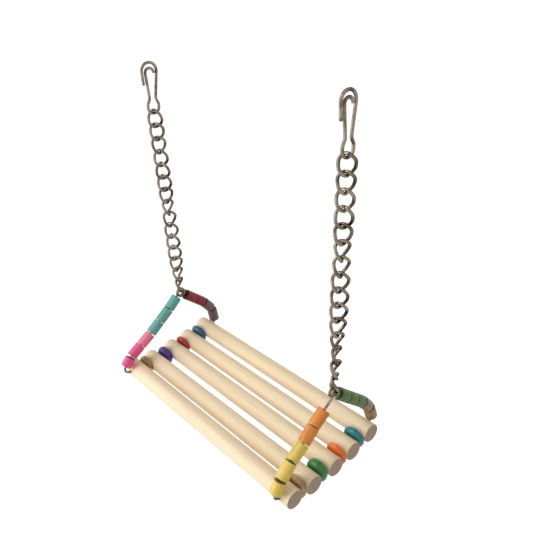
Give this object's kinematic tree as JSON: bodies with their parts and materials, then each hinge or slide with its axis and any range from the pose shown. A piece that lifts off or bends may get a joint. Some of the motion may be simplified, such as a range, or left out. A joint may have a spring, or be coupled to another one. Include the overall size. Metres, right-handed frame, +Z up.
{
  "type": "hanging bird swing bench",
  "caption": "Hanging swing bench for a cage bird: a flat row of wooden dowels on bent wire frames with coloured beads, hung from chains with spring wire hooks.",
  "frame": {"origin": "midway between the places where the two hooks bear on the bar that they hang from", "axes": "+X from the left hook to the right hook, +Y to the rear, +Z up"},
  "size_m": [0.1766, 0.093, 0.2225],
  "materials": {
    "dowel": "sanded bare wood",
    "frame_wire": "bright nickel-plated steel wire",
    "chain": "bright nickel-plated steel wire",
    "hook": "bright nickel-plated steel wire",
    "natural_bead": "varnished wood",
    "purple_bead": "glossy dyed wood",
    "red_bead": "glossy dyed wood",
    "blue_bead": "glossy dyed wood",
    "green_bead": "glossy dyed wood",
    "orange_spacer": "glossy dyed wood",
    "teal_bead": "glossy dyed wood",
    "pink_bead": "dyed wood",
    "aqua_bead": "dyed wood",
    "maroon_bead": "dyed wood",
    "mauve_bead": "dyed wood",
    "yellow_bead": "dyed wood",
    "orange_bead": "dyed wood",
    "dark_green_bead": "dyed wood",
    "tan_bead": "dyed wood"
  },
  "bodies": {
    "hooks": {"left_hook": "hook", "right_hook": "hook"},
    "left_top": {"left_top_link": "chain"},
    "right_top": {"right_top_link": "chain"},
    "left_run": {"left_chain": "chain"},
    "right_run": {"right_chain": "chain"},
    "left_bottom": {"left_bottom_link": "chain"},
    "right_bottom": {"right_bottom_link": "chain"},
    "seat": {"left_frame_wire": "frame_wire", "right_frame_wire": "frame_wire", "dowel_1": "dowel", "dowel_2": "dowel", "dowel_3": "dowel", "dowel_4": "dowel", "dowel_5": "dowel"},
    "left_spacer_1": {"left_spacer_1": "natural_bead"},
    "left_spacer_2": {"left_spacer_2": "purple_bead"},
    "left_spacer_3": {"left_spacer_3": "red_bead"},
    "left_spacer_4": {"left_spacer_4": "blue_bead"},
    "right_spacer_1": {"right_spacer_1": "natural_bead"},
    "right_spacer_2": {"right_spacer_2": "green_bead"},
    "right_spacer_3": {"right_spacer_3": "orange_spacer"},
    "right_spacer_4": {"right_spacer_4": "teal_bead"},
    "left_front_bead_1": {"left_front_bead_1": "pink_bead"},
    "left_front_bead_2": {"left_front_bead_2": "pink_bead"},
    "left_front_bead_3": {"left_front_bead_3": "pink_bead"},
    "left_front_bead_4": {"left_front_bead_4": "aqua_bead"},
    "left_front_bead_5": {"left_front_bead_5": "aqua_bead"},
    "left_front_bead_6": {"left_front_bead_6": "aqua_bead"},
    "left_rear_bead_1": {"left_rear_bead_1": "mauve_bead"},
    "left_rear_bead_2": {"left_rear_bead_2": "mauve_bead"},
    "left_rear_bead_3": {"left_rear_bead_3": "maroon_bead"},
    "left_rear_bead_4": {"left_rear_bead_4": "maroon_bead"},
    "right_front_bead_1": {"right_front_bead_1": "yellow_bead"},
    "right_front_bead_2": {"right_front_bead_2": "yellow_bead"},
    "right_front_bead_3": {"right_front_bead_3": "yellow_bead"},
    "right_front_bead_4": {"right_front_bead_4": "orange_bead"},
    "right_front_bead_5": {"right_front_bead_5": "orange_bead"},
    "right_rear_bead_1": {"right_rear_bead_1": "tan_bead"},
    "right_rear_bead_2": {"right_rear_bead_2": "tan_bead"},
    "right_rear_bead_3": {"right_rear_bead_3": "dark_green_bead"},
    "right_rear_bead_4": {"right_rear_bead_4": "dark_green_bead"},
    "right_rear_bead_5": {"right_rear_bead_5": "dark_green_bead"}
  },
  "joints": [
    {"name": "swing", "type": "hinge", "parent": "hooks", "child": "left_top", "pos_m": [-0.07985, 0, -0.02488], "axis": [1, 0, 0], "range_deg": [-35, 35]},
    {"name": "swing_right", "type": "hinge", "parent": "hooks", "child": "right_top", "pos_m": [0.07985, 0, -0.02488], "axis": [1, 0, 0], "range_deg": [-35, 35]},
    {"name": "sway", "type": "hinge", "parent": "left_top", "child": "left_run", "pos_m": [-0.07985, 0.00048, -0.03571], "axis": [0, 1, 0], "range_deg": [-30, 30]},
    {"name": "sway_right", "type": "hinge", "parent": "right_top", "child": "right_run", "pos_m": [0.07985, -0.00048, -0.03571], "axis": [0, 1, 0], "range_deg": [-30, 30]},
    {"name": "level_left", "type": "hinge", "parent": "left_run", "child": "left_bottom", "pos_m": [-0.07985, 0.00545, -0.14795], "axis": [0, 1, 0], "range_deg": [-30, 30]},
    {"name": "level_right", "type": "hinge", "parent": "right_run", "child": "right_bottom", "pos_m": [0.07985, -0.00545, -0.14795], "axis": [0, 1, 0], "range_deg": [-30, 30]},
    {"name": "rock", "type": "hinge", "parent": "left_bottom", "child": "seat", "pos_m": [-0.07985, 0.00593, -0.15879], "axis": [0.9973, -0.0741, 0], "range_deg": [-30, 30]},
    {"name": "left_spacer_1_spin", "type": "hinge", "parent": "seat", "child": "left_spacer_1", "pos_m": [-0.08174, -0.02964, -0.20794], "axis": [0.0348, 0.9994, -0.0065], "continuous": true},
    {"name": "left_spacer_2_spin", "type": "hinge", "parent": "seat", "child": "left_spacer_2", "pos_m": [-0.08115, -0.01297, -0.2073], "axis": [0.0359, 0.996, 0.082], "continuous": true},
    {"name": "left_spacer_3_spin", "type": "hinge", "parent": "seat", "child": "left_spacer_3", "pos_m": [-0.08054, 0.00358, -0.2052], "axis": [0.0366, 0.9848, 0.1699], "continuous": true},
    {"name": "left_spacer_4_spin", "type": "hinge", "parent": "seat", "child": "left_spacer_4", "pos_m": [-0.07996, 0.01911, -0.20184], "axis": [0.0371, 0.9669, 0.2524], "continuous": true},
    {"name": "right_spacer_1_spin", "type": "hinge", "parent": "seat", "child": "right_spacer_1", "pos_m": [0.07815, -0.03522, -0.21005], "axis": [0.0348, 0.9994, -0.0065], "continuous": true},
    {"name": "right_spacer_2_spin", "type": "hinge", "parent": "seat", "child": "right_spacer_2", "pos_m": [0.07874, -0.01855, -0.20942], "axis": [0.0359, 0.996, 0.082], "continuous": true},
    {"name": "right_spacer_3_spin", "type": "hinge", "parent": "seat", "child": "right_spacer_3", "pos_m": [0.07934, -0.002, -0.20731], "axis": [0.0366, 0.9848, 0.1699], "continuous": true},
    {"name": "right_spacer_4_spin", "type": "hinge", "parent": "seat", "child": "right_spacer_4", "pos_m": [0.07993, 0.01352, -0.20395], "axis": [0.0371, 0.9669, 0.2524], "continuous": true},
    {"name": "left_front_bead_1_spin", "type": "hinge", "parent": "seat", "child": "left_front_bead_1", "pos_m": [-0.08211, -0.04368, -0.1985], "axis": [0.0328, 0.6527, 0.7569], "continuous": true},
    {"name": "left_front_bead_2_spin", "type": "hinge", "parent": "seat", "child": "left_front_bead_2", "pos_m": [-0.08176, -0.03625, -0.19221], "axis": [0.0364, 0.8317, 0.5541], "continuous": true},
    {"name": "left_front_bead_3_spin", "type": "hinge", "parent": "seat", "child": "left_front_bead_3", "pos_m": [-0.08138, -0.02739, -0.18631], "axis": [0.0364, 0.8317, 0.5541], "continuous": true},
    {"name": "left_front_bead_4_spin", "type": "hinge", "parent": "seat", "child": "left_front_bead_4", "pos_m": [-0.08098, -0.01847, -0.17978], "axis": [0.0355, 0.7802, 0.6245], "continuous": true},
    {"name": "left_front_bead_5_spin", "type": "hinge", "parent": "seat", "child": "left_front_bead_5", "pos_m": [-0.08059, -0.00996, -0.17298], "axis": [0.0355, 0.7802, 0.6245], "continuous": true},
    {"name": "left_front_bead_6_spin", "type": "hinge", "parent": "seat", "child": "left_front_bead_6", "pos_m": [-0.08052, -0.00147, -0.16606], "axis": [-0.0237, 0.7699, 0.6377], "continuous": true},
    {"name": "left_rear_bead_1_spin", "type": "hinge", "parent": "seat", "child": "left_rear_bead_1", "pos_m": [-0.07928, 0.03384, -0.18981], "axis": [0.0062, -0.1946, 0.9809], "continuous": true},
    {"name": "left_rear_bead_2_spin", "type": "hinge", "parent": "seat", "child": "left_rear_bead_2", "pos_m": [-0.07932, 0.02882, -0.17954], "axis": [-0.0128, -0.654, 0.7564], "continuous": true},
    {"name": "left_rear_bead_3_spin", "type": "hinge", "parent": "seat", "child": "left_rear_bead_3", "pos_m": [-0.07949, 0.02121, -0.17215], "axis": [-0.0187, -0.7753, 0.6314], "continuous": true},
    {"name": "left_rear_bead_4_spin", "type": "hinge", "parent": "seat", "child": "left_rear_bead_4", "pos_m": [-0.07937, 0.01338, -0.16578], "axis": [0.0432, -0.7759, 0.6293], "continuous": true},
    {"name": "right_front_bead_1_spin", "type": "hinge", "parent": "seat", "child": "right_front_bead_1", "pos_m": [0.07777, -0.04953, -0.20122], "axis": [0.0288, 0.4963, 0.8677], "continuous": true},
    {"name": "right_front_bead_2_spin", "type": "hinge", "parent": "seat", "child": "right_front_bead_2", "pos_m": [0.0781, -0.04315, -0.19297], "axis": [0.0337, 0.6934, 0.7198], "continuous": true},
    {"name": "right_front_bead_3_spin", "type": "hinge", "parent": "seat", "child": "right_front_bead_3", "pos_m": [0.0785, -0.03451, -0.1853], "axis": [0.0358, 0.7975, 0.6023], "continuous": true},
    {"name": "right_front_bead_4_spin", "type": "hinge", "parent": "seat", "child": "right_front_bead_4", "pos_m": [0.0789, -0.02593, -0.1781], "axis": [0.0345, 0.7301, 0.6824], "continuous": true},
    {"name": "right_front_bead_5_spin", "type": "hinge", "parent": "seat", "child": "right_front_bead_5", "pos_m": [0.07949, -0.01802, -0.17083], "axis": [0.0759, 0.7399, 0.6685], "continuous": true},
    {"name": "right_rear_bead_1_spin", "type": "hinge", "parent": "seat", "child": "right_rear_bead_1", "pos_m": [0.08058, 0.02765, -0.19217], "axis": [-0.0003, -0.3618, 0.9322], "continuous": true},
    {"name": "right_rear_bead_2_spin", "type": "hinge", "parent": "seat", "child": "right_rear_bead_2", "pos_m": [0.08051, 0.02232, -0.18351], "axis": [-0.0136, -0.6697, 0.7425], "continuous": true},
    {"name": "right_rear_bead_3_spin", "type": "hinge", "parent": "seat", "child": "right_rear_bead_3", "pos_m": [0.08035, 0.01538, -0.17694], "axis": [-0.0188, -0.7775, 0.6286], "continuous": true},
    {"name": "right_rear_bead_4_spin", "type": "hinge", "parent": "seat", "child": "right_rear_bead_4", "pos_m": [0.08018, 0.0083, -0.17122], "axis": [-0.0188, -0.7775, 0.6286], "continuous": true},
    {"name": "right_rear_bead_5_spin", "type": "hinge", "parent": "seat", "child": "right_rear_bead_5", "pos_m": [0.07971, 0.00125, -0.1655], "axis": [-0.0848, -0.7735, 0.6281], "continuous": true}
  ],
  "couplings": [
    {"joint": "swing_right", "follows": "swing", "ratio": 1},
    {"joint": "sway_right", "follows": "sway", "ratio": 1},
    {"joint": "level_left", "follows": "sway", "ratio": -1},
    {"joint": "level_right", "follows": "sway", "ratio": -1}
  ]
}
